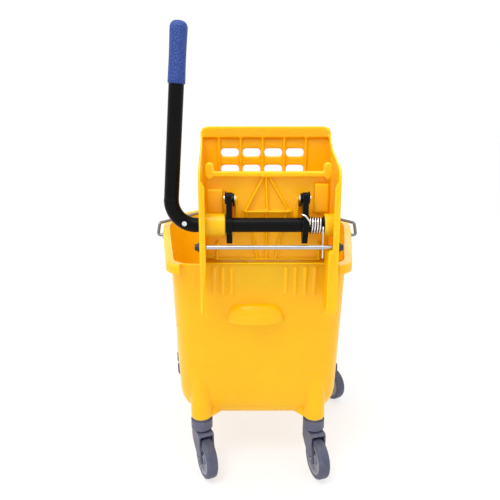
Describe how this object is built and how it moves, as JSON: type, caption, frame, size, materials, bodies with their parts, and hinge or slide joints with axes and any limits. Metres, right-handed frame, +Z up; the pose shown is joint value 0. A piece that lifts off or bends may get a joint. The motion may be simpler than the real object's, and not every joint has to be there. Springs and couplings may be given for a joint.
{
  "type": "mop bucket with wringer",
  "caption": "Wheeled mop bucket with a side-press wringer, an upright pull handle, a wire bail and swivel casters.",
  "frame": {"origin": "on the floor, under the middle of the whole object's box", "axes": "+Z up; -Y towards the wringer end; +X to the right when facing the wringer end, so the handle is on -X"},
  "size_m": [0.431, 0.5632, 0.8047],
  "materials": {
    "yellow_shell": "glossy moulded polypropylene",
    "grey_plastic": "satin moulded nylon",
    "grey_tyre": "smooth thermoplastic rubber",
    "bright_steel": "bright zinc plate",
    "zinc_wire": "galvanised wire",
    "black_paint": "black powder coat",
    "black_plastic": "satin",
    "blue_rubber": "pebbled soft grip"
  },
  "bodies": {
    "bucket": {"bucket_shell": "yellow_shell", "bail_bushes": "grey_plastic", "collar_near_left": "grey_plastic", "collar_near_right": "grey_plastic", "collar_far_left": "grey_plastic", "collar_far_right": "grey_plastic"},
    "bail_body": {"bail": "zinc_wire"},
    "wringer": {"wringer_frame": "yellow_shell", "tie_rod": "bright_steel", "tie_rod_caps": "black_plastic", "shaft_bush_left": "black_plastic", "shaft_bush_right": "black_plastic", "return_spring": "bright_steel"},
    "plate": {"press_plate": "yellow_shell", "plate_pins": "bright_steel"},
    "handle": {"handle_tube": "black_paint", "handle_grip": "blue_rubber", "snap_button": "bright_steel", "shaft_plug": "black_plastic", "arm_left": "black_paint", "arm_right": "black_paint", "arm_pins": "bright_steel", "star_washers": "black_paint"},
    "links": {"link_left": "black_paint", "link_right": "black_paint"},
    "caster_near_left": {"fork_near_left": "grey_plastic", "stem_near_left": "bright_steel", "axle_near_left": "bright_steel"},
    "roller_near_left": {"wheel_near_left": "grey_plastic", "tyre_near_left": "grey_tyre"},
    "caster_near_right": {"fork_near_right": "grey_plastic", "stem_near_right": "bright_steel", "axle_near_right": "bright_steel"},
    "roller_near_right": {"wheel_near_right": "grey_plastic", "tyre_near_right": "grey_tyre"},
    "caster_far_left": {"fork_far_left": "grey_plastic", "stem_far_left": "bright_steel", "axle_far_left": "bright_steel"},
    "roller_far_left": {"wheel_far_left": "grey_plastic", "tyre_far_left": "grey_tyre"},
    "caster_far_right": {"fork_far_right": "grey_plastic", "stem_far_right": "bright_steel", "axle_far_right": "bright_steel"},
    "roller_far_right": {"wheel_far_right": "grey_plastic", "tyre_far_right": "grey_tyre"}
  },
  "joints": [
    {"name": "wringer_lift", "type": "slide", "parent": "bucket", "child": "wringer", "axis": [0, 0, 1], "range_m": [0, 0.12]},
    {"name": "handle_turn", "type": "hinge", "parent": "wringer", "child": "handle", "pos_m": [0.0145, -0.252, 0.505], "axis": [-1, 0, 0], "range_deg": [0, 80], "stiffness_Nm_per_rad": 1.2, "springref_deg": -28.65, "deforming": ["return_spring"]},
    {"name": "plate_swing", "type": "hinge", "parent": "wringer", "child": "plate", "pos_m": [0.0145, -0.222, 0.447], "axis": [-1, 0, 0], "range_deg": [0, 40]},
    {"name": "link_swing", "type": "hinge", "parent": "handle", "child": "links", "pos_m": [0.0145, -0.252, 0.548], "axis": [-1, 0, 0], "range_deg": [-86, 0]},
    {"name": "bail_swing", "type": "hinge", "parent": "bucket", "child": "bail_body", "pos_m": [0, 0.022, 0.43122], "axis": [1, 0, 0], "range_deg": [0, 95]},
    {"name": "swivel_near_left", "type": "hinge", "parent": "bucket", "child": "caster_near_left", "pos_m": [-0.108, -0.164, 0.1], "axis": [0, 0, 1], "continuous": true},
    {"name": "spin_near_left", "type": "hinge", "parent": "caster_near_left", "child": "roller_near_left", "pos_m": [-0.09783, -0.18684, 0.038], "axis": [0.9135, 0.4067, 0], "continuous": true},
    {"name": "swivel_near_right", "type": "hinge", "parent": "bucket", "child": "caster_near_right", "pos_m": [0.108, -0.164, 0.1], "axis": [0, 0, 1], "continuous": true},
    {"name": "spin_near_right", "type": "hinge", "parent": "caster_near_right", "child": "roller_near_right", "pos_m": [0.11489, -0.18803, 0.038], "axis": [0.9613, 0.2756, 0], "continuous": true},
    {"name": "swivel_far_left", "type": "hinge", "parent": "bucket", "child": "caster_far_left", "pos_m": [-0.176, 0.125, 0.1], "axis": [0, 0, 1], "continuous": true},
    {"name": "spin_far_left", "type": "hinge", "parent": "caster_far_left", "child": "roller_far_left", "pos_m": [-0.17166, 0.14962, 0.038], "axis": [-0.9848, 0.1736, 0], "continuous": true},
    {"name": "swivel_far_right", "type": "hinge", "parent": "bucket", "child": "caster_far_right", "pos_m": [0.176, 0.125, 0.1], "axis": [0, 0, 1], "continuous": true},
    {"name": "spin_far_right", "type": "hinge", "parent": "caster_far_right", "child": "roller_far_right", "pos_m": [0.1885, 0.10335, 0.038], "axis": [0.866, 0.5, 0], "continuous": true}
  ],
  "couplings": [
    {"joint": "plate_swing", "follows": "handle_turn", "ratio": 0.5},
    {"joint": "link_swing", "follows": "handle_turn", "ratio": -1.0625}
  ]
}
